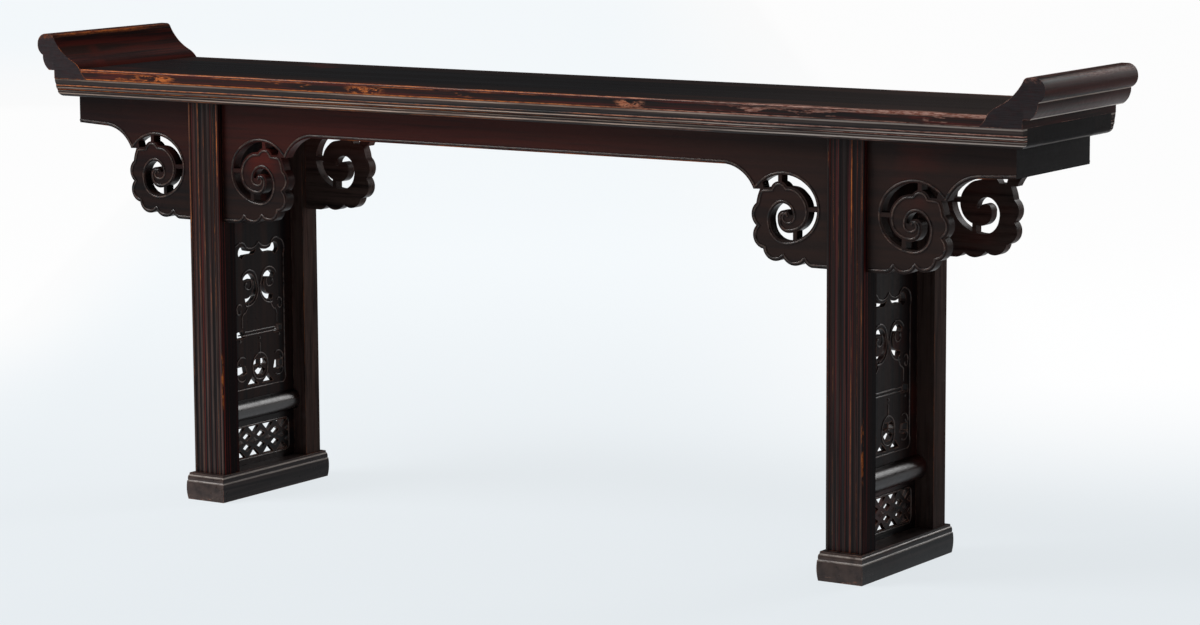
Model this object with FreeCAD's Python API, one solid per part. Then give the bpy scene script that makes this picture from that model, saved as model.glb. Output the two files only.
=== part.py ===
import FreeCAD, Part
import math
import os

# A long narrow altar table with everted end flanges, made as a cabinetmaker makes it: a framed
# top on two trestles, with forked legs that straddle a straight apron and carved cloud spandrels.
# Millimetres. X runs along the table, -Y is the front, +Z is up.
# The origin is on the floor, under the middle of the top.

os.makedirs("parts", exist_ok=True)
Vector = FreeCAD.Vector

# Driving sizes of the whole table
top_length = 2234.2
top_depth = 381.0
table_height = 880.0
top_thickness = 58.8

# Joinery shared by all pieces
fit_gap = 0.15
joint_line = 0.4
overrun = 5.0
same_place = 0.001

# Framed top
rail_width = 88.0
end_rail_width = 102.0
edge_inset = 16.0
end_inset = 9.5
end_round_height = 14.8
top_arris = 3.5
panel_thickness = 16.0
tongue_thickness = 8.0
tongue_length = 8.0
end_tenon_thickness = 14.0
end_tenon_width = 52.0
end_tenon_length = 40.0
batten_count = 4
batten_width = 38.0
batten_height = 34.0
batten_tenon_width = 20.0
batten_tenon_height = 16.0
batten_tenon_length = 14.0

# Everted end flanges
flange_base = 70.0
flange_overhang = 43.5
flange_height = 70.0
flange_foot_spread = 18.0
flange_foot_depth = 21.8
flange_lip = 5.0

# Legs
leg_inset = 370.0
leg_setback = 27.4
leg_width = 78.0
leg_depth = 49.7
leg_proud = 14.3
reed_relief = 1.2
bead_relief = 2.0
cheek_tenon_thickness = 8.0
cheek_tenon_width = 34.0
cheek_tenon_length = 20.0
foot_tenon_thickness = 22.0
foot_tenon_width = 44.0
foot_tenon_length = 32.0

# Aprons and cloud spandrels
apron_overhang_inset = 31.5
apron_thickness = 22.0
apron_height = 60.4
apron_end_rise = 4.0
spandrel_rise = 19.0
spandrel_spread = 262.0
cloud_reach = 206.0
cloud_drop = 182.8

# Bars of wood left across the channel that is pierced round each cloud
tab_width = 8.0
tab_length = 30.0

# Feet
foot_height = 55.5
foot_side = 8.65
foot_toe = 15.4
foot_top_inset = 4.0
foot_floor_inset = 1.5

# Trestle infill: lattice board, stretcher, carved panel and upper rail
lattice_height = 94.5
lattice_thickness = 8.5
lattice_stile = 22.5
lattice_bottom_band = 16.5
lattice_top_band = 15.0
lattice_corner_radius = 9.0
lattice_columns = 7.75
lattice_rows = 5.5
stretcher_height = 45.0
stretcher_width = 48.0
stretcher_tenon_thickness = 20.0
stretcher_tenon_height = 28.0
stretcher_tenon_length = 24.0
infill_inset = 3.0
infill_groove_depth = 4.0
leg_groove_depth = 7.0
leg_groove_width = 6.0
side_panel_thickness = 11.0
side_top_rail_height = 45.0
side_top_rail_thickness = 26.0
side_top_tenon_thickness = 10.0
side_top_tenon_height = 25.0
side_top_tenon_length = 10.0
field_stile = 31.4
field_bottom_band = 24.0
field_height = 298.0

# Moulded front edge of the top: in from the face as a share of edge_inset, and down from the
# top as a share of top_thickness. In every outline one point is a straight run, and each pair
# of points is an arc through the first and to the second.
edge_moulding_shares = [
    [(0.0, 0.37)],
    [(0.08, 0.375)],
    [(0.13, 0.49), (0.31, 0.585)],
    [(0.25, 0.605)],
    [(0.33, 0.635)],
    [(0.36, 0.71), (0.56, 0.755)],
    [(0.54, 0.785)],
    [(0.63, 0.81)],
    [(0.66, 0.90), (1.0, 1.0)],
]

# Flange outline, up as a share of flange_height. Inside the end of the top the other number is
# a share of flange_base, outside it a share of flange_overhang.
flange_slope_shares = [(-0.88, 0.125), (-0.70, 0.235), (-0.31, 0.495), (0.0, 0.886)]
flange_shoulder_shares = [(0.09, 0.967), (0.25, 1.0)]
flange_crest_share = (0.575, 1.0)
flange_nose_shares = [(0.87, 0.90), (1.0, 0.70), (0.93, 0.50), (0.69, 0.371)]
flange_bulge_shares = [(0.64, 0.17), (0.322, -0.0714)]
flange_foot_side_shares = (0.39, 0.55)

# Leg front, from the centre line out as a share of half the leg's width. Reeds are arcs.
leg_bead_shares = (0.905, 0.812)
leg_step_share = 0.64
leg_reed_shares = [(0.466, 0.346, 0.226), (0.12, 0.0, -0.12), (-0.226, -0.346, -0.466)]

# Half outline of a cloud spandrel below the apron: out from the leg's centre line as a share of
# cloud_reach, down from the apron's lower edge as a share of cloud_drop.
arch_shares = [(1.087, 0.084), (0.981, 0.237)]
cloud_lobe_shares = [
    [(0.913, 0.234)],
    [(0.937, 0.306), (0.951, 0.377)],
    [(1.0, 0.480), (0.951, 0.606)],
    [(0.981, 0.735), (0.879, 0.841)],
    [(0.796, 0.950), (0.670, 0.923)],
    [(0.570, 0.991), (0.451, 0.945)],
    [(0.413, 0.984), (0.375, 1.0)],
]

# Channel pierced round a cloud, in the same shares: its outer edge from the mouth to the curl,
# and its inner edge back. The bars left across it are upright or level, each about its middle.
channel_shares = [
    [(0.888, 0.163)],
    [(0.680, 0.075), (0.437, 0.163), (0.325, 0.442), (0.451, 0.677)],
    [(0.537, 0.727), (0.631, 0.748), (0.743, 0.710), (0.801, 0.595)],
    [(0.796, 0.469), (0.728, 0.379), (0.617, 0.387), (0.573, 0.480)],
    [(0.602, 0.486)],
    [(0.640, 0.440), (0.728, 0.525), (0.699, 0.623), (0.617, 0.664)],
    [(0.524, 0.639), (0.456, 0.584), (0.408, 0.440), (0.485, 0.253)],
    [(0.530, 0.215), (0.592, 0.196)],
    [(0.631, 0.193)],
    [(0.716, 0.144), (0.801, 0.215)],
    [(0.874, 0.220)],
]
upright_tab_shares = [(0.706, 0.108), (0.551, 0.694)]
level_tab_shares = [(0.369, 0.412)]

# Half profile of a foot: in from the full width as a share of foot_top_inset, up as a share of
# foot_height.
foot_profile_shares = [
    [(-0.15, 0.30), (0.0, 0.70)],
    [(0.35, 0.73)],
    [(0.30, 0.83), (0.55, 0.90)],
    [(0.85, 0.92)],
    [(1.0, 1.0)],
]

# Openings carved through a side panel, on its right-hand half: out from the middle as a share
# of the carved field's half width, up as a share of field_height.
pierced_half_shares = {
    "crest": [
        [(0.04, 0.970)],
        [(0.28, 0.950), (0.50, 0.962)],
        [(0.78, 0.975), (0.80, 0.930)],
        [(0.68, 0.905)],
        [(0.56, 0.930)],
        [(0.20, 0.930)],
    ],
    "handle": [
        [(0.64, 0.765)],
        [(0.42, 0.797), (0.14, 0.735)],
        [(0.12, 0.655), (0.54, 0.592)],
        [(0.57, 0.625)],
        [(0.26, 0.660), (0.22, 0.735)],
        [(0.29, 0.756)],
        [(0.60, 0.745)],
    ],
    "corner": [
        [(0.58, 0.352)],
        [(0.93, 0.350)],
        [(0.93, 0.395)],
        [(0.70, 0.405)],
    ],
    "flower_petal": [
        [(0.02, 0.144)],
        [(0.24, 0.140)],
        [(0.29, 0.162)],
        [(0.18, 0.188)],
        [(0.02, 0.184)],
    ],
    "side_leaf": [
        [(0.55, 0.100)],
        [(0.72, 0.088)],
        [(0.93, 0.100)],
        [(0.93, 0.150)],
        [(0.60, 0.152)],
    ],
    "foot_scroll": [
        [(0.07, 0.010)],
        [(0.54, 0.010)],
        [(0.32, 0.068)],
    ],
}
flower_mouth_shares = [
    [(-0.22, 0.105)],
    [(-0.10, 0.070)],
    [(0.10, 0.070)],
    [(0.22, 0.105)],
    [(0.10, 0.122)],
    [(-0.10, 0.122)],
]

# Openings of the lattice board, out from a cell's middle as a share of the cell's width and up
# as a share of its height: diamonds either side of the middle row, and triangles whose points
# are turned from the frame, their bases on it.
lattice_diamond_shares = (0.59, 0.75)
lattice_triangle_shares = (0.77, 1.275)

# Places worked out from the sizes above
top_underside = table_height - top_thickness
half_length = top_length / 2
half_depth = top_depth / 2
rail_inner = half_depth - rail_width
panel_half_length = half_length - end_rail_width
leg_x = half_length - leg_inset
infill_x = leg_x - infill_inset
leg_front = half_depth - leg_setback
leg_inner = leg_front - leg_depth
apron_face = leg_front - leg_proud
apron_back = apron_face - apron_thickness
apron_end = half_length - apron_overhang_inset
apron_bottom = top_underside - apron_height
apron_end_bottom = apron_bottom + apron_end_rise
spandrel_top = apron_bottom + spandrel_rise
spandrel_bottom = apron_bottom - cloud_drop
foot_half_width = leg_width / 2 + foot_side
foot_half_length = leg_front + foot_toe
stretcher_bottom = foot_height + lattice_height
stretcher_top = stretcher_bottom + stretcher_height
side_top_rail_bottom = top_underside - side_top_rail_height
field_half_width = leg_inner - field_stile
field_bottom = stretcher_top + field_bottom_band


def box(x_span, y_span, z_span):
    """A block between two places along each axis."""
    low = Vector(min(x_span), min(y_span), min(z_span))
    size = Vector(max(x_span), max(y_span), max(z_span)) - low
    return Part.makeBox(size.x, size.y, size.z, low)


def outline_face(steps, place):
    """A flat face from steps: one point is a straight run, each further pair an arc through and to."""
    start = place(steps[0][0])
    here = start
    edges = []
    for step in steps[1:]:
        points = [place(point) for point in step]
        if len(points) == 1:
            edges.append(Part.makeLine(here, points[0]))
            here = points[0]
        for through, end in zip(points[0::2], points[1::2]):
            edges.append(Part.Arc(here, through, end).toShape())
            here = end
    if here.distanceToPoint(start) > same_place:
        edges.append(Part.makeLine(here, start))
    return Part.Face(Part.Wire(edges))


def mirrored_x(shape):
    return shape.mirror(Vector(0, 0, 0), Vector(1, 0, 0))


def mirrored_y(shape):
    return shape.mirror(Vector(0, 0, 0), Vector(0, 1, 0))


def four_corners(shape):
    """A shape at the front right, repeated in the other three corners."""
    right_pair = [shape, mirrored_y(shape)]
    return right_pair + [mirrored_x(one) for one in right_pair]


def top_envelope():
    """The whole top as one block, with its moulded long edges and rounded-under ends."""
    def section_point(point):
        return Vector(-half_length - overrun, point[0], point[1])

    def moulding_point(share):
        inward = share[0] * edge_inset
        down = share[1] * top_thickness
        return (half_depth - inward, table_height - down)

    middle = [(0, table_height)]
    arris_bend = top_arris * (1 - math.sqrt(0.5))
    steps = [middle, [(half_depth - top_arris, table_height)]]
    arris_middle = (half_depth - arris_bend, table_height - arris_bend)
    steps.append([arris_middle, (half_depth, table_height - top_arris)])
    steps += [[moulding_point(share) for share in step] for step in edge_moulding_shares]
    steps.append([(0, top_underside)])
    half = outline_face(steps, section_point).extrude(Vector(top_length + 2 * overrun, 0, 0))
    whole = half.fuse(mirrored_y(half)).removeSplitter()

    round_top = top_underside + end_round_height
    round_side = half_length - end_inset * (1 - math.sqrt(0.5))
    round_low = top_underside + end_round_height * (1 - math.sqrt(0.5))
    ends = [
        [(0, table_height)],
        [(half_length, table_height)],
        [(half_length, round_top)],
        [(round_side, round_low), (half_length - end_inset, top_underside)],
        [(0, top_underside)],
    ]
    half_side = outline_face(ends, lambda point: Vector(point[0], -half_depth - overrun, point[1]))
    half_side = half_side.extrude(Vector(0, top_depth + 2 * overrun, 0))
    return whole.common(half_side.fuse(mirrored_x(half_side)).removeSplitter())


def flange(gap=0):
    """The right-hand end flange, with its dovetailed foot let down into the top."""
    def inside(share):
        return (half_length + share[0] * flange_base, table_height + share[1] * flange_height)

    def outside(share):
        return (half_length + share[0] * flange_overhang, table_height + share[1] * flange_height)

    foot_inner = half_length - flange_base - flange_foot_spread - gap
    foot_floor = table_height - flange_foot_depth - gap
    side_share = flange_foot_side_shares
    foot_side_point = (
        half_length - flange_base - side_share[0] * flange_foot_spread - gap,
        table_height - side_share[1] * flange_foot_depth,
    )
    toe = (half_length - flange_base - gap, table_height)
    steps = [
        [toe],
        [inside(share) for share in flange_slope_shares],
        [outside(share) for share in flange_shoulder_shares],
        [outside(flange_crest_share)],
        [outside(share) for share in flange_nose_shares],
        [outside(share) for share in flange_bulge_shares],
        [(half_length, table_height - flange_lip)],
        [(half_length, foot_floor)],
        [(foot_inner, foot_floor)],
        [foot_side_point, toe],
    ]
    face = outline_face(steps, lambda point: Vector(point[0], -half_depth - gap, point[1]))
    return face.extrude(Vector(0, top_depth + 2 * gap, 0))


def end_tenons(gap=0):
    """Tenons of the right-hand end rail, one into each long rail."""
    middle_x = half_length - end_rail_width / 2
    middle_z = top_underside + (top_thickness - flange_foot_depth) / 2
    half_width = end_tenon_width / 2 + gap
    half_thickness = end_tenon_thickness / 2 + gap
    reach = rail_inner + end_tenon_length + gap
    return box(
        (middle_x - half_width, middle_x + half_width),
        (-reach, reach),
        (middle_z - half_thickness, middle_z + half_thickness),
    )


def batten_places():
    """Middle of each batten along the table, evenly spaced between the end rails."""
    spacing = 2 * panel_half_length / (batten_count + 1)
    return [-panel_half_length + spacing * (number + 1) for number in range(batten_count)]


def batten_tenons(x, gap=0):
    top = table_height - panel_thickness - (batten_height - batten_tenon_height) / 2 + gap
    reach = rail_inner + batten_tenon_length + gap
    half_width = batten_tenon_width / 2 + gap
    return box((x - half_width, x + half_width), (-reach, reach), (top - batten_tenon_height - 2 * gap, top))


def cheek_tenons(gap=0):
    """Two tenons on the forked top of the front right leg."""
    solids = []
    for low, high in ((apron_face, leg_front), (leg_inner, apron_back)):
        middle = (low + high) / 2
        half_thickness = cheek_tenon_thickness / 2 + gap
        half_width = cheek_tenon_width / 2 + gap
        solids.append(box(
            (leg_x - half_width, leg_x + half_width),
            (-middle - half_thickness, -middle + half_thickness),
            (top_underside - gap, top_underside + cheek_tenon_length + gap),
        ))
    return solids


def top_tongue(gap=0):
    """Tongue round the floating panel, also the groove in the frame."""
    low = table_height - panel_thickness - gap
    high = table_height - panel_thickness + tongue_thickness + gap
    along = panel_half_length + tongue_length + gap
    across = rail_inner + tongue_length + gap
    return box((-along, along), (-across, across), (low, high))


def long_rail(envelope):
    """The front rail of the top."""
    rail = envelope.common(box((-half_length, half_length), (-half_depth, -rail_inner), (0, table_height)))
    cuts = [top_tongue(fit_gap)]
    for cut in (flange(), end_tenons(fit_gap)):
        cuts += [cut, mirrored_x(cut)]
    cuts += [batten_tenons(x, fit_gap) for x in batten_places()]
    for tenon in cheek_tenons(fit_gap):
        cuts += [tenon, mirrored_x(tenon)]
    return rail.cut(cuts)


def end_rail(envelope):
    """The right-hand end rail of the top, between the long rails and under the flange."""
    block = box((half_length - end_rail_width, half_length), (-rail_inner, rail_inner), (0, table_height))
    rail = envelope.common(block).fuse(end_tenons()).removeSplitter()
    return rail.cut([flange(), top_tongue(fit_gap)])


def top_panel():
    along = panel_half_length - joint_line
    across = rail_inner - joint_line
    board = box((-along, along), (-across, across), (table_height - panel_thickness, table_height))
    return board.fuse(top_tongue()).removeSplitter()


def battens():
    """Cross battens under the panel, tenoned into the long rails."""
    top = table_height - panel_thickness
    solids = []
    for x in batten_places():
        half_width = batten_width / 2
        bar = box((x - half_width, x + half_width), (-rail_inner, rail_inner), (top - batten_height, top))
        solids.append(bar.fuse(batten_tenons(x)).removeSplitter())
    return Part.makeCompound(solids)


def leg_section():
    """Section of the front right leg, with beaded edges and three reeds on its face."""
    half = leg_width / 2

    def place(point):
        return Vector(leg_x + point[0] * half, point[1] - leg_front, 0)

    bead_crest, bead_inside = leg_bead_shares
    steps = [[(1.0, leg_depth)], [(1.0, bead_relief)]]
    steps.append([(bead_crest, 0), (bead_inside, bead_relief)])
    steps.append([(leg_step_share, bead_relief)])
    steps.append([(leg_step_share, reed_relief)])
    for outer, crest, inner in leg_reed_shares:
        steps.append([(outer, reed_relief)])
        steps.append([(crest, 0), (inner, reed_relief)])
    steps.append([(-leg_step_share, reed_relief)])
    steps.append([(-leg_step_share, bead_relief)])
    steps.append([(-bead_inside, bead_relief)])
    steps.append([(-bead_crest, 0), (-1.0, bead_relief)])
    steps.append([(-1.0, leg_depth)])
    return outline_face(steps, place)


def foot_tenon(gap=0):
    """Tenon under the front right leg."""
    middle = (leg_front + leg_inner) / 2
    half_width = foot_tenon_width / 2 + gap
    half_thickness = foot_tenon_thickness / 2 + gap
    return box(
        (leg_x - half_width, leg_x + half_width),
        (-middle - half_thickness, -middle + half_thickness),
        (foot_height - foot_tenon_length - gap, foot_height + gap),
    )


def infill_tongue(low, high, gap=0):
    """Tongues of an infill board of the right-hand trestle, let into the legs' inner faces."""
    reach = leg_inner + leg_groove_depth + gap
    half_width = leg_groove_width / 2 + gap
    return box((infill_x - half_width, infill_x + half_width), (-reach, reach), (low, high))


def rail_tenon(low, high, thickness, length, gap=0):
    """Tenons at both ends of a cross rail of the right-hand trestle."""
    reach = leg_inner + length + gap
    half = thickness / 2 + gap
    return box((leg_x - half, leg_x + half), (-reach, reach), (low - gap, high + gap))


def stretcher_tenon(gap=0):
    middle = (stretcher_bottom + stretcher_top) / 2
    half = stretcher_tenon_height / 2
    return rail_tenon(middle - half, middle + half, stretcher_tenon_thickness, stretcher_tenon_length, gap)


def side_top_tenon(gap=0):
    middle = (side_top_rail_bottom + top_underside) / 2
    half = side_top_tenon_height / 2
    return rail_tenon(middle - half, middle + half, side_top_tenon_thickness, side_top_tenon_length, gap)


def leg():
    """The front right leg: forked at the top to straddle the apron and the spandrel."""
    post = leg_section()
    post.translate(Vector(0, 0, foot_height))
    post = post.extrude(Vector(0, 0, top_underside - foot_height))
    fork = box(
        (leg_x - leg_width, leg_x + leg_width),
        (-apron_face - fit_gap, -apron_back + fit_gap),
        (spandrel_bottom - fit_gap, top_underside + overrun),
    )
    grooves = [
        infill_tongue(foot_height - overrun, stretcher_bottom + infill_groove_depth, fit_gap),
        infill_tongue(stretcher_top - infill_groove_depth, side_top_rail_bottom + infill_groove_depth, fit_gap),
    ]
    post = post.cut([fork, stretcher_tenon(fit_gap), side_top_tenon(fit_gap)] + grooves)
    return post.fuse(cheek_tenons() + [foot_tenon()]).removeSplitter()


def apron():
    """The front apron: one board, notched below for the spandrels, shallower and mitred at the ends."""
    corners = [
        (-apron_end, apron_face),
        (apron_end, apron_face),
        (apron_end - apron_thickness, apron_back),
        (-apron_end + apron_thickness, apron_back),
    ]
    plan = outline_face([[corner] for corner in corners], lambda point: Vector(point[0], -point[1], 0))
    plan.translate(Vector(0, 0, apron_bottom))
    board = plan.extrude(Vector(0, 0, apron_height))
    notch = box(
        (leg_x - spandrel_spread, leg_x + spandrel_spread),
        (-apron_face - overrun, -apron_back + overrun),
        (apron_bottom - overrun, spandrel_top),
    )
    tail_steps = [
        [(leg_x + spandrel_spread, apron_bottom)],
        [(apron_end, apron_end_bottom)],
        [(apron_end, apron_bottom)],
    ]
    tail = outline_face(tail_steps, lambda point: Vector(point[0], -apron_face, point[1]))
    tail = tail.extrude(Vector(0, apron_thickness, 0))
    return board.cut([notch, mirrored_x(notch), tail, mirrored_x(tail)])


def end_apron():
    """The right-hand end apron, mitred into the long aprons."""
    corners = [
        (apron_end, apron_face),
        (apron_end, -apron_face),
        (apron_end - apron_thickness, -apron_back),
        (apron_end - apron_thickness, apron_back),
    ]
    plan = outline_face([[corner] for corner in corners], lambda point: Vector(point[0], point[1], 0))
    plan.translate(Vector(0, 0, apron_end_bottom))
    return plan.extrude(Vector(0, 0, top_underside - apron_end_bottom))


def cloud_point(share):
    """A place on the front right spandrel, from shares of a cloud's reach and drop."""
    return (leg_x + share[0] * cloud_reach, apron_bottom - share[1] * cloud_drop)


def cloud_channel():
    """The spiral channel pierced round a cloud, less the bars of wood left across it."""
    steps = [[cloud_point(share) for share in step] for step in channel_shares]
    face = outline_face(steps, lambda point: Vector(point[0], -apron_face - overrun, point[1]))
    channel = face.extrude(Vector(0, apron_thickness + 2 * overrun, 0))
    across = tab_width / 2
    along = tab_length / 2
    tabs = [(share, across, along) for share in upright_tab_shares]
    tabs += [(share, along, across) for share in level_tab_shares]
    through = (-apron_face - overrun, -apron_back + overrun)
    for share, half_x, half_z in tabs:
        x, z = cloud_point(share)
        channel = channel.cut(box((x - half_x, x + half_x), through, (z - half_z, z + half_z)))
    return channel


def spandrel():
    """The front right spandrel board: two pierced clouds, one on each side of the leg."""
    steps = [
        [(leg_x, spandrel_top)],
        [(leg_x + spandrel_spread, spandrel_top)],
        [(leg_x + spandrel_spread, apron_bottom)],
        [cloud_point(share) for share in arch_shares],
    ]
    steps += [[cloud_point(share) for share in step] for step in cloud_lobe_shares]
    steps.append([(leg_x, spandrel_bottom)])
    face = outline_face(steps, lambda point: Vector(point[0], -apron_face, point[1]))
    half = face.extrude(Vector(0, apron_thickness, 0)).cut(cloud_channel())
    other_half = half.mirror(Vector(leg_x, 0, 0), Vector(1, 0, 0))
    return half.fuse(other_half).removeSplitter()


def foot_block():
    """The right-hand foot: a moulded block across the trestle, mortised for both legs."""
    def half_profile(half_size, place):
        steps = [[(0, 0)], [(half_size - foot_floor_inset, 0)]]
        for step in foot_profile_shares:
            steps.append([(half_size - x * foot_top_inset, z * foot_height) for x, z in step])
        steps.append([(0, foot_height)])
        return outline_face(steps, place)

    reach_y = foot_half_length + overrun
    along = half_profile(foot_half_width, lambda point: Vector(point[0], -reach_y, point[1]))
    along = along.extrude(Vector(0, 2 * reach_y, 0))
    along = along.fuse(mirrored_x(along)).removeSplitter()
    reach_x = foot_half_width + overrun
    across = half_profile(foot_half_length, lambda point: Vector(-reach_x, point[0], point[1]))
    across = across.extrude(Vector(2 * reach_x, 0, 0))
    across = across.fuse(mirrored_y(across)).removeSplitter()
    block = along.common(across)
    block.translate(Vector(leg_x, 0, 0))
    mortise = foot_tenon(fit_gap)
    groove_floor = foot_height - infill_groove_depth
    groove = board_edge(lattice_thickness, groove_floor, foot_height + overrun, fit_gap)
    tongue_groove = infill_tongue(groove_floor, foot_height + overrun, fit_gap)
    return block.cut([mortise, mirrored_y(mortise), groove, tongue_groove])


def board_edge(thickness, low, high, gap=0):
    """The full-thickness edge of an infill board between the legs' inner faces."""
    half = thickness / 2 + gap
    return box((infill_x - half, infill_x + half), (-leg_inner, leg_inner), (low, high))


def stretcher():
    """The rounded cross rail of the right-hand trestle, grooved above and below."""
    half_width = stretcher_width / 2
    half_height = stretcher_height / 2
    middle = stretcher_bottom + half_height
    bend = math.sqrt(0.5)

    def place(point):
        return Vector(leg_x + point[0] * half_width, -leg_inner, middle + point[1] * half_height)

    flat_share = side_panel_thickness / stretcher_width
    corner_share = flat_share + (1 - flat_share) * bend
    steps = [
        [(-flat_share, 1)],
        [(flat_share, 1)],
        [(corner_share, bend), (1, 0)],
        [(corner_share, -bend), (flat_share, -1)],
        [(-flat_share, -1)],
        [(-corner_share, -bend), (-1, 0)],
        [(-corner_share, bend), (-flat_share, 1)],
    ]
    rail = outline_face(steps, place).extrude(Vector(0, 2 * leg_inner, 0))
    lower_end = stretcher_bottom + infill_groove_depth
    upper_end = stretcher_top - infill_groove_depth
    grooves = [
        board_edge(lattice_thickness, stretcher_bottom - overrun, lower_end, fit_gap),
        board_edge(side_panel_thickness, upper_end, stretcher_top + overrun, fit_gap),
    ]
    return rail.cut(grooves).fuse(stretcher_tenon()).removeSplitter()


def side_top_rail():
    """The upper cross rail of the right-hand trestle, under the top."""
    half = side_top_rail_thickness / 2
    rail = box((leg_x - half, leg_x + half), (-leg_inner, leg_inner), (side_top_rail_bottom, top_underside))
    low = side_top_rail_bottom - overrun
    groove = board_edge(side_panel_thickness, low, side_top_rail_bottom + infill_groove_depth, fit_gap)
    return rail.cut(groove).fuse(side_top_tenon()).removeSplitter()


def through_cut(steps, place, thickness):
    """A cut right through an infill board of the right-hand trestle."""
    face = outline_face(steps, place)
    face.translate(Vector(infill_x - thickness / 2 - overrun, 0, 0))
    return face.extrude(Vector(thickness + 2 * overrun, 0, 0))


def lattice_panel():
    """The low lattice board of the right-hand trestle: crossed bars, closed along the middle row."""
    low = foot_height - infill_groove_depth
    high = stretcher_bottom + infill_groove_depth
    board = board_edge(lattice_thickness, low, high).fuse(infill_tongue(low, high)).removeSplitter()

    half_opening = leg_inner - lattice_stile
    opening_low = foot_height + lattice_bottom_band
    opening_high = stretcher_bottom - lattice_top_band
    cell_width = 2 * half_opening / lattice_columns
    cell_height = (opening_high - opening_low) / lattice_rows
    middle = (opening_low + opening_high) / 2
    half_height = (opening_high - opening_low) / 2
    reach = lattice_thickness + overrun
    opening = box(
        (infill_x - reach, infill_x + reach),
        (-half_opening, half_opening),
        (opening_low, opening_high),
    )
    corners = [edge for edge in opening.Edges if abs(edge.tangentAt(edge.FirstParameter).x) > math.sqrt(0.5)]
    opening = opening.makeFillet(lattice_corner_radius, corners)

    def place(point):
        return Vector(0, point[0], middle + point[1])

    diamond_width, diamond_height = lattice_diamond_shares
    triangle_width, triangle_point = lattice_triangle_shares
    half_columns = math.ceil(lattice_columns / 2)
    for column in range(-half_columns, half_columns + 1):
        y = column * cell_width
        for way in (-1, 1):
            if column % 2 == 0:
                z = way * cell_height
                points = [
                    [(y - diamond_width * cell_width, z)],
                    [(y, z - diamond_height * cell_height)],
                    [(y + diamond_width * cell_width, z)],
                    [(y, z + diamond_height * cell_height)],
                ]
            else:
                points = [
                    [(y, way * triangle_point * cell_height)],
                    [(y - triangle_width * cell_width, way * half_height)],
                    [(y + triangle_width * cell_width, way * half_height)],
                ]
            board = board.cut(through_cut(points, place, lattice_thickness).common(opening))
    return board


def side_panel():
    """The carved openwork panel of the right-hand trestle."""
    low = stretcher_top - infill_groove_depth
    high = side_top_rail_bottom + infill_groove_depth
    board = board_edge(side_panel_thickness, low, high).fuse(infill_tongue(low, high)).removeSplitter()

    def place(share):
        return Vector(0, share[0] * field_half_width, field_bottom + share[1] * field_height)

    cuts = [through_cut(flower_mouth_shares, place, side_panel_thickness)]
    for steps in pierced_half_shares.values():
        cut = through_cut(steps, place, side_panel_thickness)
        cuts += [cut, mirrored_y(cut)]
    return board.cut(cuts)


def write(name, shape):
    shape.exportStep("parts/" + name + ".step")


def write_ends(name, right):
    """Write the right-hand piece and its mirror image at the left."""
    write(name + "_right", right)
    write(name + "_left", mirrored_x(right))


def write_corners(name, front_right):
    places = ("front_right", "back_right", "front_left", "back_left")
    for place, shape in zip(places, four_corners(front_right)):
        write(name + "_" + place, shape)


envelope = top_envelope()
front_rail = long_rail(envelope)
write("top_rail_front", front_rail)
write("top_rail_back", mirrored_y(front_rail))
write_ends("top_end_rail", end_rail(envelope))
write("top_panel", top_panel())
write("top_battens", battens())
write_ends("flange", flange())

front_apron = apron()
write("apron_front", front_apron)
write("apron_back", mirrored_y(front_apron))
write_ends("apron_end", end_apron())
write_corners("spandrel", spandrel())

write_corners("leg", leg())
write_ends("foot", foot_block())
write_ends("lattice_panel", lattice_panel())
write_ends("side_stretcher", stretcher())
write_ends("side_panel", side_panel())
write_ends("side_top_rail", side_top_rail())
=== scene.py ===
import math

import bpy
from mathutils import Matrix, Vector


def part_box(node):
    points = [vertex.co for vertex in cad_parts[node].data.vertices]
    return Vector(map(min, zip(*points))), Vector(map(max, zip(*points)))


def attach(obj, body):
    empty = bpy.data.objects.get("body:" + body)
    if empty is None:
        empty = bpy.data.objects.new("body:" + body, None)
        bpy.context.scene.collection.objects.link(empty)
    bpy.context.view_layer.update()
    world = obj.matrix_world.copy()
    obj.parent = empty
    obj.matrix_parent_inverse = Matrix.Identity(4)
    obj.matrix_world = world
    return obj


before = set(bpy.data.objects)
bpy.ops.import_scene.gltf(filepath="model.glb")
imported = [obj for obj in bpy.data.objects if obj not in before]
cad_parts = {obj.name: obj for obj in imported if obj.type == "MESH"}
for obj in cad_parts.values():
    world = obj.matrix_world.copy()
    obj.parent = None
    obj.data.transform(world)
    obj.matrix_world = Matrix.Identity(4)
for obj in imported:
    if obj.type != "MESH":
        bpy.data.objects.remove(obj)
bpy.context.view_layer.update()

# An antique lacquered altar table on a pale studio floor.
# Metres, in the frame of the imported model: X along the table, -Y the front, +Z up.

# Camera, solved from the photograph
camera_place = Vector((4.0652, -6.0883, 1.4948))
camera_yaw = math.radians(33.441)
camera_pitch = math.radians(8.262)
camera_roll = math.radians(-0.364)
image_width = 1200.0
image_height = 625.0
focal_pixels = 3747.74
principal_point = (572.758, 309.654)
sensor_width_mm = 36.0
view_reach = 100

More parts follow.
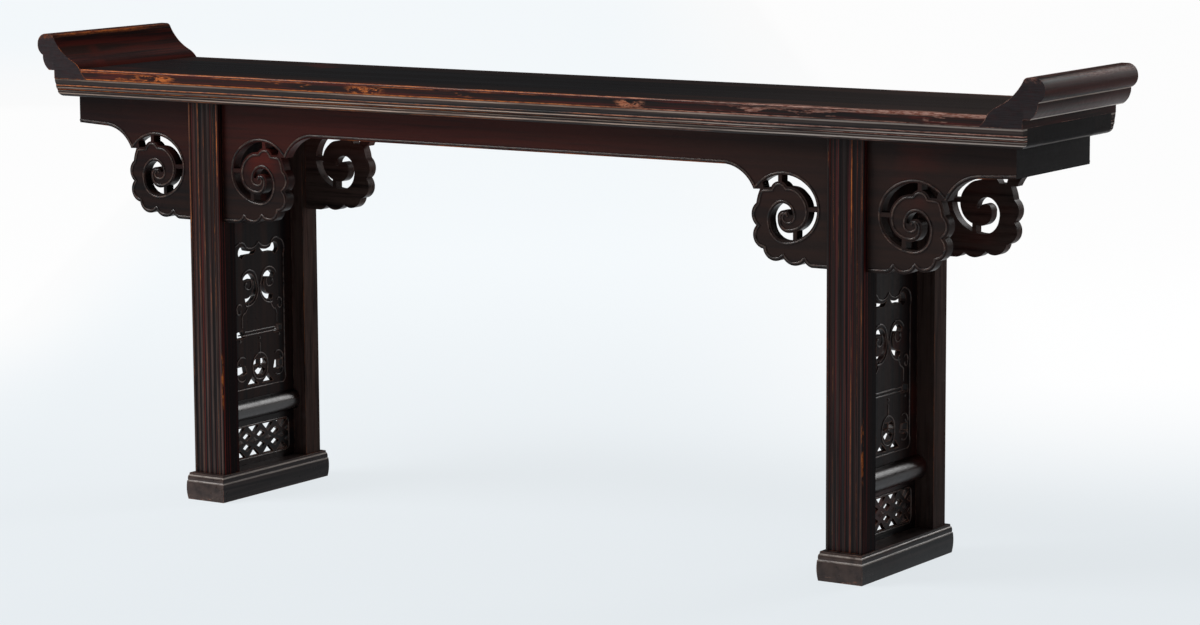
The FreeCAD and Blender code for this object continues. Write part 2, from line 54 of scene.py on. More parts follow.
# Colours, linear
lacquer_black = (0.0042, 0.0032, 0.0036)
lacquer_brown = (0.0150, 0.0065, 0.0050)
lacquer_soot = (0.0072, 0.0066, 0.0074)
foot_body = (0.0240, 0.0170, 0.0165)
lacquer_red = (0.060, 0.0080, 0.0052)
worn_orange = (0.47, 0.130, 0.024)
# The next colour is pale worn wood, and on the carved beads' crests partly a painted highlight.
pale_wear_and_highlight = (0.24, 0.165, 0.125)
worn_wood = (0.150, 0.028, 0.009)
worn_pink = (0.42, 0.235, 0.185)
crimson = (0.105, 0.0120, 0.0095)
# The next colour paints rubbed and dusty places, and also painted sheen, highlights and fill light;
# the two after it paint pale highlight lines.
rub_and_painted_light_brown = (0.118, 0.076, 0.062)
highlight_pale = (0.42, 0.360, 0.318)
warm_highlight = (0.47, 0.345, 0.272)
end_grain = (0.0305, 0.0260, 0.0280)
dust_grey = (0.050, 0.043, 0.041)
paper_tones = ((0.80, 0.83, 0.87), (0.84, 0.865, 0.895))
glow_near = (0.79, 0.835, 0.865)
glow_far = (0.935, 0.975, 1.0)
glow_white = (1.0, 1.0, 1.0)
surround_colour = (0.945, 0.972, 0.99)

# Patterns of the lacquer: scale across the grain, scale along it, detail, roughness
grain_pattern = (170, 5, 6.0, 0.62)
streak_pattern = (52, 1.3, 4.0, 0.55)
rubbing_pattern = (210, 9, 5.0, 0.7)
fibre_pattern = (420, 60, 4.0, 0.65)
cloud_pattern = (4.3, 3.0, 0.5)
dust_pattern = (110.0, 4.0, 0.6)
streak_warp = 0.4

# How those patterns are read: from and to, then the shares there where they aren't 0 and 1
brown_limits = (0.34, 0.70)
red_limits = (0.66, 0.88)
red_shift = 0.32
red_streak_limits = (0.30, 0.62, 0.25, 1.0)
extra_red_limits = (0.2, 0.6, 0.4, 1.0)
rubbing_limits = (0.66, 0.78, 0.0, 0.35)
rubbing_cloud_limits = (0.3, 0.6)
fibre_limits = (0.36, 0.60)
sheen_limits = (0.3, 0.7)

# Gloss and bump of the lacquer
sheen_spread = 0.14
worn_roughness = 0.25
polish_shine = 0.24
bump_height = 0.0006
edge_samples = 6
line_core = 0.35
sharp_angle = math.radians(28)

# The floor and its glow towards the camera: limits across the view (X) and into it (Y)
floor_half = 30.0
floor_level = -0.0002
paper_pattern = (1.2, 3.0)
paper_limits = (0.3, 0.7)
floor_roughness = 0.6
floor_shine = 0.2
near_glow_share = 0.88
far_glow_extra = 0.06
side_glow_share = 0.97
far_limits = (-0.9, 4.5)
side_limits = (
    (("X", 0.1, 1.3), ("Y", -0.2, 1.8)),
    (("X", -1.10, -1.55), ("Y", 0.8, 3.0), ("Y", 14.0, 9.0)),
)

# Light of the surround by the height of its direction: from and to, then the strengths there
surround_limits = (0.22, 0.80, 0.03, 0.55)

# Lamps: name, place, the point that each looks at, width and height, watts
lamps = (
    ("left_lamp", (-3.0, -2.5, 4.2), (0, 0, 0.4), (2.6, 2.0), 250),
    ("back_lamp", (1.6, 3.9, 1.95), (-0.7, 0, 0.3), (1.7, 2.4), 90),
)

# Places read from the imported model
spandrel_low, spandrel_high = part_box("spandrel_front_right")
leg_x = (spandrel_low[0] + spandrel_high[0]) / 2
spandrel_spread = (spandrel_high[0] - spandrel_low[0]) / 2
apron_face = -spandrel_low[1]
apron_low, apron_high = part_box("apron_front")
apron_bottom = apron_low[2]
apron_end = apron_high[0]
top_underside = apron_high[2]
apron_end_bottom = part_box("apron_end_right")[0][2]
leg_low, leg_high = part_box("leg_front_right")
leg_half_width = leg_high[0] - leg_x
leg_face = -leg_low[1]
panel_low, panel_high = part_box("side_panel_right")
lattice_low, lattice_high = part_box("lattice_panel_right")
rail_low, rail_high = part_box("top_rail_front")
rail_front = -rail_low[1]
top_half_length = rail_high[0]
table_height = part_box("top_panel")[1][2]

# Worn and redder places along the top's long edges: middle and half length
worn_patches = ((-0.850, 0.070), (-0.317, 0.055), (0.300, 0.040))
red_patches = ((0.815, 0.055), (0.915, 0.035), (-0.960, 0.060))

# Lines on the top's moulding: height from the flat of the top, half width, strength if it has one
arris_line = (-0.0004, 0.0024)
fascia_top = (-0.0030, 0.0050)
worn_fascia = (-0.0125, 0.0090)
red_fascia = (-0.0115, 0.0130)
red_borders = ((-0.0040, 0.0050), (-0.0180, 0.0045))
# The rolls' paler bands and the crests' pale lines below are painted highlights.
roll_highlights = (
    (-0.0275, 0.0060, 0.34),
    (-0.0405, 0.0034, 0.34),
    (-0.0505, 0.0052, 0.42),
)
crest_highlights = (
    (-0.0238, 0.0022, 0.62),
    (-0.0408, 0.0014, 0.85),
    (-0.0478, 0.0011, 0.55),
    (-0.0528, 0.0017, 0.90),
)

# Worn lines there: the same, then the streaks' two limits, their scale along and their left lift
worn_lines = (
    (-0.0050, 0.0014, 0.60, 0.52, 0.64, 5, 0.10),
    (-0.0206, 0.0017, 0.90, 0.34, 0.54, 4, 0.10),
    (-0.0360, 0.0015, 0.95, 0.34, 0.54, 3, 0.10),
    (-0.0443, 0.0013, 0.90, 0.38, 0.58, 3, 0.10),
    (-0.0562, 0.0016, 0.45, 0.48, 0.66, 5, 0.0),
)
moulding_limits = (rail_front - 0.0215, rail_front - 0.0165)
arris_limits = (rail_front - 0.0026, rail_front - 0.0010)
moulding_wobble = 0.0022

# Marks on the flanges and the top's ends: limits of height or length, and lines' half widths
flange_crest_limits = (table_height + 0.056, table_height + 0.068)
flange_foot_limits = (table_height + 0.004, table_height + 0.024)
past_end_limits = (top_half_length - 0.001, top_half_length + 0.004)
end_face_limits = (top_half_length - 0.006, top_half_length - 0.002)
# The pale lines on the flanges and along the top's end are painted highlights.
flange_highlight_lines = ((table_height + 0.0262, 0.0018), (table_height - 0.0040, 0.0020))
end_highlight_line = (top_underside + 0.0012, 0.0032)

# Lines on a foot: height above the floor, half width, strength if it has one
# The foot's pale lines below are painted highlights.
foot_highlight_lines = ((0.0385, 0.0022, 0.42), (0.0500, 0.0022, 0.55))
foot_chip_line = (0.002, 0.010)
foot_top_limits = (0.052, 0.060)

# Lines down a leg's face: their place as a share of its half width, half width, streaks' limit
reed_lines = (
    (0.90, 0.0014, 0.48),
    (0.346, 0.0016, 0.46),
    (0.0, 0.0013, 0.54),
    (-0.346, 0.0012, 0.54),
    (-0.64, 0.0010, 0.52),
    (-0.90, 0.0014, 0.54),
)
reed_crests = (-0.90, -0.64, -0.346, 0.0, 0.346, 0.64, 0.90)
reed_crest_half_width = 0.0036
leg_front_limits = (apron_face + 0.010, apron_face + 0.0115)
leg_chip_limits = (0.0042 - leg_face, 0.0020 - leg_face)
leg_chip_heights = (0.250, 0.075)
leg_chip_half_width = 0.0045

# Other marks on the lower pieces
apron_worn_line = (apron_bottom + 0.0005, 0.0020)
apron_red_middle = -0.22
apron_red_limits = (0.15, 0.95, 0.62, 0.06)
spandrel_red_limits = (apron_bottom - 0.13, apron_bottom - 0.02)
red_cloud_limits = (0.012, 0.070, 0.95, 0.0)

# Carved beads: their radii, how far they lie beside the lines they follow, and a cloud's size
bead_radius = 0.0021
fine_bead_radius = 0.0016
bead_resolution = 2
ring_offset = 0.0042
cloud_offset = 0.0052
arch_offset = 0.0050
cloud_reach = 0.206
cloud_drop = apron_bottom - spandrel_low[2]
red_cloud_middle = (
    ("X", -leg_x + 0.68 * cloud_reach),
    ("Z", apron_bottom - 0.26 * cloud_drop),
    ("Y", -apron_face),
)

# Outlines that the beads follow, out from the leg's centre line as a share of cloud_reach and
# down from the apron's lower edge as a share of cloud_drop. One point is a straight run, and
# each pair of points an arc through the first and to the second.
arch_shares = [(1.087, 0.084), (0.981, 0.237)]
lobe_shares = [
    [(0.913, 0.234)],
    [(0.937, 0.306), (0.951, 0.377)],
    [(1.0, 0.480), (0.951, 0.606)],
    [(0.981, 0.735), (0.879, 0.841)],
    [(0.796, 0.950), (0.670, 0.923)],
    [(0.570, 0.991), (0.451, 0.945)],
    [(0.413, 0.984), (0.375, 1.0)],
    [(0.200, 1.0)],
]
ring_shares = [
    [(0.940, 0.222)],
    [(0.888, 0.163)],
    [(0.680, 0.075), (0.437, 0.163), (0.325, 0.442), (0.451, 0.677)],
    [(0.537, 0.727), (0.631, 0.748), (0.743, 0.710), (0.801, 0.595)],
    [(0.796, 0.469), (0.728, 0.379), (0.617, 0.387), (0.573, 0.480)],
    [(0.600, 0.535), (0.650, 0.525), (0.655, 0.500), (0.635, 0.488)],
]
inner_shares = [
    [(0.874, 0.220)],
    [(0.801, 0.215)],
    [(0.716, 0.144), (0.631, 0.193)],
    [(0.592, 0.196)],
    [(0.530, 0.215), (0.485, 0.253), (0.408, 0.440), (0.456, 0.584)],
    [(0.524, 0.639), (0.617, 0.664), (0.699, 0.623), (0.728, 0.525)],
    [(0.640, 0.440), (0.602, 0.486)],
]

# Carved lines of a side panel's right-hand half: across from its middle and up, as shares of
# the carved field
field_half_width = 0.082
field_low = 0.219
field_height = 0.298
panel_line_shares = {
    "border": [
        [(0.0, -0.012)],
        [(0.93, -0.012)],
        [(0.995, 0.002), (1.015, 0.060)],
        [(1.015, 0.900)],
        [(0.99, 0.985), (0.84, 1.010)],
        [(0.66, 1.020), (0.50, 0.985)],
        [(0.26, 0.972), (0.0, 1.010)],
    ],
    "shoulder": [[(0.0, 0.390)], [(0.62, 0.390)]],
    "shoulder_foot": [[(0.0, 0.366)], [(0.70, 0.366)]],
    "body": [
        [(0.439, 0.591)],
        [(0.500, 0.550), (0.585, 0.523)],
        [(0.680, 0.510), (0.707, 0.473)],
        [(0.707, 0.423)],
    ],
    "handle": [
        [(0.70, 0.775)],
        [(0.40, 0.822), (0.08, 0.740)],
        [(0.07, 0.640), (0.54, 0.570)],
    ],
    "handle_curl": [
        [(0.34, 0.752)],
        [(0.32, 0.700), (0.50, 0.690)],
        [(0.57, 0.716), (0.52, 0.738)],
    ],
    "side_curl": [
        [(0.72, 0.575)],
        [(0.88, 0.585), (0.90, 0.545)],
        [(0.83, 0.520), (0.77, 0.548)],
    ],
    "upper_leaf": [
        [(0.62, 0.205)],
        [(0.80, 0.215), (0.93, 0.180)],
        [(0.88, 0.158), (0.82, 0.175)],
    ],
    "lower_leaf": [
        [(0.62, 0.060)],
        [(0.82, 0.050), (0.93, 0.078)],
        [(0.88, 0.095), (0.82, 0.085)],
    ],
    "stem": [[(0.0, 0.215)], [(0.0, 0.300)]],
    "flower": [
        [(0.0, 0.040)],
        [(0.20, 0.060), (0.30, 0.130)],
        [(0.22, 0.200), (0.0, 0.228)],
    ],
    "bud": [[(0.0, 0.120)], [(0.05, 0.130), (0.0, 0.142)]],
}
ball_shares = [(0.524, 0.728), (0.0, 0.330), (0.80, 0.330)]
ball_radius = 0.0032
ball_rise = 0.0022

# A ball's rings from its rim inwards: share of its radius, share of its rise
ball_rings = ((1.0, 0.0), (0.85, 0.50), (0.45, 0.90))
ball_sides = 10

# Pointed bosses on the closed cells of the lattices' middle row, and the bead round the opening
lattice_middle_height = 0.1035
lattice_boss_places = (-0.07035, -0.02345, 0.02345, 0.07035)
lattice_half_opening = 0.0909
lattice_opening_half_height = 0.0315
lattice_corner_radius = 0.009
corner_steps = 4
boss_half_width = 0.0135
boss_half_height = 0.0068
boss_rise = 0.0034

# Steps of an arc, and the limit that keeps a corner near when its line is moved sideways
arc_step = math.radians(10)
least_corner = 1.2


def add_object(name, data):
    """Put a new object in the scene."""
    thing = bpy.data.objects.new(name, data)
    bpy.context.collection.objects.link(thing)
    return thing


def aim_camera():
    """The camera at the photograph's angle."""
    forward = Vector((
        -math.sin(camera_yaw) * math.cos(camera_pitch),
        math.cos(camera_yaw) * math.cos(camera_pitch),
        -math.sin(camera_pitch),
    ))
    level = forward.cross(Vector((0, 0, 1))).normalized()
    upright = level.cross(forward)
    right = level * math.cos(camera_roll) + upright * math.sin(camera_roll)
    up = upright * math.cos(camera_roll) - level * math.sin(camera_roll)
    data = bpy.data.cameras.new("camera")
    data.sensor_fit = "HORIZONTAL"
    data.sensor_width = sensor_width_mm
    data.lens = focal_pixels * sensor_width_mm / image_width
    data.shift_x = (image_width / 2 - principal_point[0]) / image_width
    data.shift_y = (principal_point[1] - image_height / 2) / image_width
    data.clip_end = view_reach
    camera = add_object("camera", data)
    turn = Matrix((right, up, -forward)).transposed()
    camera.matrix_world = Matrix.Translation(camera_place) @ turn.to_4x4()
    bpy.context.scene.camera = camera


class Graph:
    """A short way to write the nodes of a material whose grain runs along an axis."""

    def __init__(self, name, grain_axis="X"):
        self.grain_axis = grain_axis
        self.material = bpy.data.materials.new(name)
        self.material.use_nodes = True
        self.nodes = self.material.node_tree.nodes
        self.links = self.material.node_tree.links
        self.shader = self.nodes["Principled BSDF"]
        self.place = self.nodes.new("ShaderNodeTexCoord").outputs["Object"]
        self.axes = self.nodes.new("ShaderNodeSeparateXYZ")
        self.links.new(self.place, self.axes.inputs[0])
        self.surface = self.nodes.new("ShaderNodeNewGeometry")

    def set(self, socket, value):
        if isinstance(value, bpy.types.NodeSocket):
            self.links.new(value, socket)
        else:
            socket.default_value = value

    def along(self, axis):
        return self.axes.outputs[axis]

    def away(self, axis):
        """Distance from the middle of the table along an axis, either way."""
        return self.math("ABSOLUTE", self.along(axis))

    def facing(self, axis):
        """How squarely the surface faces along an axis, either way."""
        parts = self.nodes.new("ShaderNodeSeparateXYZ")
        self.links.new(self.surface.outputs["True Normal"], parts.inputs[0])
        return self.math("ABSOLUTE", parts.outputs[axis])

    def noise(self, vector, scale, detail=4.0, rough=0.55, warp=0.0):
        node = self.nodes.new("ShaderNodeTexNoise")
        self.links.new(vector, node.inputs["Vector"])
        node.inputs["Scale"].default_value = scale
        node.inputs["Detail"].default_value = detail
        node.inputs["Roughness"].default_value = rough
        node.inputs["Distortion"].default_value = warp
        return node.outputs["Fac"]

    def stretched(self, across, along, detail=4.0, rough=0.55, warp=0.0, axis=None):
        """Noise with one scale across the grain, or another axis, and another scale along it."""
        scale = [across, across, across]
        scale["XYZ".index(axis or self.grain_axis)] = along
        node = self.nodes.new("ShaderNodeMapping")
        self.links.new(self.place, node.inputs["Vector"])
        node.inputs["Scale"].default_value = scale
        return self.noise(node.outputs["Vector"], 1.0, detail, rough, warp)

    def broken(self, low, high, across=60, along=9, lift=0.0, axis=None):
        """Stretched patches, which break up a worn line. A lift makes them grow."""
        patches = self.stretched(across, along, rough=0.68, axis=axis)
        return self.band(self.add(patches, lift), low, high)

    def band(self, value, low, high, start=0.0, end=1.0):
        """A smooth step from one value to another between two limits."""
        node = self.nodes.new("ShaderNodeMapRange")
        node.interpolation_type = "SMOOTHSTEP"
        self.set(node.inputs["Value"], value)
        node.inputs["From Min"].default_value = low
        node.inputs["From Max"].default_value = high
        node.inputs["To Min"].default_value = start
        node.inputs["To Max"].default_value = end
        return node.outputs["Result"]

    def step(self, axis, low, high, start=0.0, end=1.0):
        """Such a step by place along an axis."""
        return self.band(self.along(axis), low, high, start, end)

    def line(self, value, middle, half_width):
        """One at a place along a value, falling to nothing half a width away."""
        away = self.math("ABSOLUTE", self.subtract(value, middle))
        return self.band(away, half_width * line_core, half_width, 1.0, 0.0)

    def lines(self, value, table):
        """Several such lines, each with its strength."""
        return self.most([
            self.product(self.line(value, middle, half_width), strength)
            for middle, half_width, strength in table
        ])

    def math(self, kind, first, second=0.0):
        node = self.nodes.new("ShaderNodeMath")
        node.operation = kind
        self.set(node.inputs[0], first)
        self.set(node.inputs[1], second)
        return node.outputs[0]

    def add(self, first, second):
        return self.math("ADD", first, second)

    def subtract(self, first, second):
        return self.math("SUBTRACT", first, second)

    def most(self, values):
        result = values[0]
        for value in values[1:]:
            result = self.math("MAXIMUM", result, value)
        return result

    def product(self, *values):
        result = values[0]
        for value in values[1:]:
            result = self.math("MULTIPLY", result, value)
        return result

    def mix(self, share, first, second):
        node = self.nodes.new("ShaderNodeMix")
        node.data_type = "RGBA"
        node.clamp_factor = True
        self.set(node.inputs["Factor"], share)
        for socket, colour in ((node.inputs["A"], first), (node.inputs["B"], second)):
            self.set(socket, colour if isinstance(colour, bpy.types.NodeSocket) else (*colour, 1.0))
        return node.outputs["Result"]

    def tone(self, colour):
        """A colour, or what a function makes of it on this material."""
        return colour(self) if callable(colour) else colour

    def edge(self, radius):
        """How sharply the surface turns within a radius: 0 on a flat face, more on an edge."""
        bevel = self.nodes.new("ShaderNodeBevel")
        bevel.samples = edge_samples
        bevel.inputs["Radius"].default_value = radius
        dot = self.nodes.new("ShaderNodeVectorMath")
        dot.operation = "DOT_PRODUCT"
        self.links.new(bevel.outputs["Normal"], dot.inputs[0])
        self.links.new(self.surface.outputs["True Normal"], dot.inputs[1])
        return self.subtract(1.0, dot.outputs["Value"])

    def bump(self, height, distance, strength=1.0):
        node = self.nodes.new("ShaderNodeBump")
        self.links.new(height, node.inputs["Height"])
        node.inputs["Distance"].default_value = distance
        node.inputs["Strength"].default_value = strength
        self.links.new(node.outputs["Normal"], self.shader.inputs["Normal"])


def lacquer(name, grain_axis, wear, red=0.5, roughness=0.30, shine=0.14, dull=0.2, flat_shine=None,
            bump_strength=0.5, body=lacquer_brown, worn_tone=worn_orange, rub_and_painted_light=None, crest=None,
            crest_highlight_tone=highlight_pale, ends=None, polish=None, soot=None, extra_red=None,
            thin_red=None):
    """Old dark lacquer over wood, worn through where wear says; on the carved beads that pale share
    is partly a painted highlight.

    shine is the specular level, dull the share of it left on faces that look along the table, and
    flat_shine the level on flat faces. rub, crest, ends, polish, soot, extra_red and thin_red say
    where it is paler, has pale lines, shows end grain, is glossier, darker, redder and crimson. The
    paler places come from rubbing and dust. On the top, its moulding and the feet they are also a
    painted sheen and painted highlights, and at the back they are dust with painted fill light. The
    pale lines are painted highlights.
    """
    graph = Graph(name, grain_axis)
    grain = graph.stretched(*grain_pattern)
    streak = graph.stretched(*streak_pattern, warp=streak_warp)
    cloud = graph.noise(graph.place, *cloud_pattern)
    dust = graph.noise(graph.place, *dust_pattern)

    brown = graph.mix(graph.band(streak, *brown_limits), lacquer_black, body)
    red_share = graph.product(
        graph.band(cloud, *[limit - red_shift * red for limit in red_limits]),
        graph.band(streak, *red_streak_limits),
    )
    if extra_red:
        uneven = graph.band(grain, *extra_red_limits)
        red_share = graph.most([red_share, graph.product(extra_red(graph), uneven)])
    base = graph.mix(red_share, brown, lacquer_red)
    rubbing = graph.band(graph.stretched(*rubbing_pattern), *rubbing_limits)
    rubbing = graph.product(rubbing, graph.band(cloud, *rubbing_cloud_limits))
    base = graph.mix(rubbing, base, dust_grey)
    if soot:
        base = graph.mix(soot(graph), base, lacquer_black)
    if thin_red:
        base = graph.mix(thin_red(graph), base, crimson)
    if ends:
        base = graph.mix(ends(graph), base, end_grain)
    if rub_and_painted_light:
        base = graph.mix(rub_and_painted_light(graph), base, rub_and_painted_light_brown)
    if crest:
        base = graph.mix(crest(graph), base, graph.tone(crest_highlight_tone))

    worn = wear(graph)
    fibres = graph.band(graph.stretched(*fibre_pattern), *fibre_limits)
    worn_colour = graph.mix(fibres, worn_wood, graph.tone(worn_tone))
    graph.set(graph.shader.inputs["Base Color"], graph.mix(worn, base, worn_colour))

    soft = graph.add(graph.product(dust, 0.5), graph.product(cloud, 0.5))
    sheen = graph.band(soft, *sheen_limits, roughness, roughness + sheen_spread)
    sheen = graph.add(sheen, graph.product(worn, worn_roughness))
    graph.set(graph.shader.inputs["Roughness"], sheen)
    level = graph.band(graph.facing("X"), 0.4, 0.9, shine, shine * dull)
    if flat_shine:
        flat = graph.band(graph.facing("Z"), 0.8, 0.95)
        level = graph.add(
            graph.product(graph.subtract(1.0, flat), level),
            graph.product(flat, flat_shine),
        )
    if polish:
        level = graph.add(level, graph.product(polish(graph), polish_shine))
    graph.set(graph.shader.inputs["Specular IOR Level"], level)
    height = graph.add(graph.product(grain, 0.6), graph.product(dust, 0.4))
    height = graph.subtract(height, graph.product(worn, 0.6))
    graph.bump(height, bump_height, bump_strength)
    return graph.material


def hairlines(graph):
    """A few rubbed hairlines along the grain."""
    return graph.product(graph.broken(0.70, 0.80, across=190, along=3), 0.30)


def moulding_height(graph):
    """Height above the top's flat, a little unsteady, so that lines drawn by it wander."""
    noise = graph.stretched(5, 60, detail=3.0, axis="Z")
    wobble = graph.product(graph.subtract(noise, 0.5), moulding_wobble)
    return graph.add(graph.subtract(graph.along("Z"), table_height), wobble)


def on_moulding(graph):
    """One on the long edges' mouldings, fading to nothing on the flat of the top."""
    return graph.band(graph.away("Y"), *moulding_limits)


def towards_left(graph, strength):
    """A share that grows from nothing near the middle of the table to its left end."""
    return graph.step("X", -top_half_length, 0.25, start=strength, end=0.0)


def moulding_wear(graph):
    """The top's long edges: lacquer gone from the arris, the fascia's borders and the grooves."""
    height = moulding_height(graph)
    marks = []
    for middle, half_width, strength, low, high, along, lift in worn_lines:
        streaks = graph.broken(low, high, along=along, lift=towards_left(graph, lift))
        marks.append(graph.product(graph.line(height, middle, half_width), streaks, strength))
    fascia = graph.line(height, *worn_fascia)
    right = graph.step("X", 0.40, 0.70)
    lift = graph.add(towards_left(graph, 0.06), graph.product(right, 0.04))
    marks.append(graph.product(fascia, graph.broken(0.63, 0.70, along=10, lift=lift), 0.7))
    broad = graph.broken(0.47, 0.58, along=7)
    marks.append(graph.product(graph.line(height, *fascia_top), right, broad, 0.8))
    for middle, half_length in worn_patches:
        near = graph.line(graph.along("X"), middle, half_length)
        chips = graph.broken(0.46, 0.54, across=130, along=50)
        marks.append(graph.product(fascia, near, chips))
    inside = graph.product(graph.most(marks), on_moulding(graph))
    at_face = graph.band(graph.away("Y"), *arris_limits)
    worn = graph.broken(0.30, 0.52, along=4, lift=towards_left(graph, 0.10))
    return graph.most([inside, graph.product(at_face, graph.line(height, *arris_line), worn)])


def moulding_tone(graph):
    """What shows where the lacquer is gone: orange at the left, paler and pinker at the right."""
    return graph.mix(graph.step("X", 0.0, 0.65), worn_orange, worn_pink)


def moulding_strength(graph):
    """The moulding, with its painted highlights, is paler at mid-length than at its ends, and
    darkest at the left.
    """
    left = graph.step("X", -0.85, -0.10, start=0.72, end=1.28)
    return graph.product(left, graph.step("X", 0.35, 0.75, start=1.0, end=0.78))


def crest_colour(graph):
    """The pale lines, which are painted highlights, are warmer at the left and at mid-length than
    at the right.
    """
    return graph.mix(graph.step("X", 0.2, 0.7), warm_highlight, highlight_pale)


def moulding_painted_sheen(graph):
    """Paler rolls under the fascia, a painted highlight, and a painted sheen on the flat of the
    rails.
    """
    rolls = graph.lines(moulding_height(graph), roll_highlights)
    streaks = graph.broken(0.30, 0.66, across=190, along=3)
    rubbed = graph.product(rolls, moulding_strength(graph), streaks, on_moulding(graph))
    return graph.most([rubbed, top_painted_sheen(graph)])


def moulding_highlights(graph):
    """Thin pale lines where the rolls stand proudest: painted highlights."""
    crests = graph.lines(moulding_height(graph), crest_highlights)
    right = graph.step("X", 0.65, 1.0, start=0.0, end=0.18)
    streaks = graph.broken(0.26, 0.60, across=90, along=3, lift=right)
    return graph.product(crests, moulding_strength(graph), streaks, on_moulding(graph))


def fascia_red(graph):
    """The fascia under the top's arris is redder than the rest, most so at the left."""
    height = moulding_height(graph)
    streaks = graph.stretched(7, 300, rough=0.6, axis="Z")
    share = graph.band(graph.add(streaks, towards_left(graph, 0.14)), 0.46, 0.64)
    borders = [graph.line(height, *border) for border in red_borders]
    patches = graph.most([graph.line(graph.along("X"), *patch) for patch in red_patches])
    fascia = graph.line(height, *red_fascia)
    reach = graph.most([*borders, graph.product(fascia, patches), graph.product(fascia, 0.30)])
    return graph.product(share, reach, on_moulding(graph))


def arris_wear(graph):
    """Edges rubbed through to the wood."""
    edge = graph.band(graph.edge(0.0032), 0.03, 0.24)
    worn = graph.product(edge, graph.broken(0.40, 0.62, across=32, along=8))
    return graph.most([worn, hairlines(graph)])


def flange_wear(graph):
    """Rubbed arrises, and orange showing through along the crest."""
    crest = graph.step("Z", *flange_crest_limits)
    streaks = graph.broken(0.40, 0.66, across=90, along=3)
    flat = graph.band(graph.facing("Z"), 0.80, 0.97, start=1.0, end=0.30)
    return graph.most([arris_wear(graph), graph.product(crest, streaks, flat, 0.60)])


def past_the_end(graph):
    """One on what stands out past the end of the top."""
    return graph.band(graph.away("X"), *past_end_limits)


def flange_polish(graph):
    """The lower part of a flange's outside is a little glossier than its roll."""
    low = graph.step("Z", *flange_foot_limits, start=0.30, end=0.05)
    return graph.product(past_the_end(graph), low)


def flange_highlights(graph):
    """Painted highlights: pale lines along the two outer arrises of a flange, under its roll and at
    its foot.
    """
    marks = graph.most([graph.line(graph.along("Z"), *line) for line in flange_highlight_lines])
    long_side = graph.band(graph.facing("Y"), 0.3, 0.7, start=1.0, end=0.0)
    streaks = graph.broken(0.20, 0.50, along=5)
    return graph.product(marks, past_the_end(graph), long_side, streaks, 0.95)


def flange_red(graph):
    """The flanges are dark red all over, in uneven streaks along them."""
    return graph.band(graph.stretched(90, 3, rough=0.6), 0.36, 0.66, start=0.05, end=0.62)


def flange_ends(graph):
    """End grain on a flange's front and back ends, in uneven rings."""
    rings = graph.band(graph.stretched(26, 520, 3.0, 0.6, axis="Z"), 0.30, 0.66, start=0.55)
    return graph.product(graph.band(graph.facing("Y"), 0.75, 0.95), rings)


def end_highlight(graph):
    """A painted highlight: a pale line along the lower edge of the top's end."""
    low_edge = graph.line(graph.along("Z"), *end_highlight_line)
    end = graph.band(graph.away("X"), *end_face_limits)
    return graph.product(low_edge, end, graph.broken(0.20, 0.50, along=5), 0.80)


def top_painted_sheen(graph):
    """A painted sheen: the flat of the top is a little paler towards its right end."""
    right = graph.step("X", 0.1, 1.0, start=0.0, end=0.12)
    return graph.product(right, graph.band(graph.facing("Z"), 0.8, 0.95))


def left_end(graph):
    """One at the left end of the table, nothing at the right end."""
    return graph.step("X", -leg_x, leg_x, start=1.0, end=0.0)


def rail_end_soot(graph):
    """The sawn ends of the long rails are as dark as the end rail between them."""
    return graph.band(graph.facing("X"), 0.75, 0.95, start=0.0, end=0.80)


def opening_wear(graph):
    """The edges round the openings of a carved board, rubbed paler."""
    edge = graph.band(graph.edge(0.0030), 0.02, 0.16)
    worn = graph.product(edge, graph.broken(0.34, 0.60, across=90, along=40), 0.70)
    return graph.most([worn, hairlines(graph)])


def foot_wear(graph):
    """Rubbed arrises, and chips along the ends' lower edges."""
    chips = graph.product(
        graph.line(graph.along("Z"), *foot_chip_line),
        graph.band(graph.facing("Y"), 0.3, 0.7),
        graph.broken(0.50, 0.60, across=160, along=40, axis="X"),
    )
    return graph.most([arris_wear(graph), chips])


def foot_highlights(graph):
    """Painted highlights: pale lines along the moulding on top of a foot."""
    marks = graph.lines(graph.along("Z"), foot_highlight_lines)
    return graph.product(marks, graph.broken(0.26, 0.58, along=6))


def foot_grey_ends_and_highlight(graph):
    """The ends of the feet are greyer, and so is the moulding on their tops, which there is a
    painted highlight.
    """
    ends = graph.product(graph.band(graph.facing("Y"), 0.3, 0.8), 0.42)
    top = graph.product(graph.step("Z", *foot_top_limits), 0.22)
    uneven = graph.band(graph.noise(graph.place, 34.0, 4.0, 0.6), 0.30, 0.62, start=0.3)
    return graph.product(graph.most([ends, top]), uneven)


def across_leg(graph):
    """Distance from the middle of a leg, growing towards the table's end."""
    return graph.subtract(graph.away("X"), leg_x)


def on_leg_front(graph):
    """One on a leg's outer face, which stands out past the apron."""
    return graph.band(graph.away("Y"), *leg_front_limits)


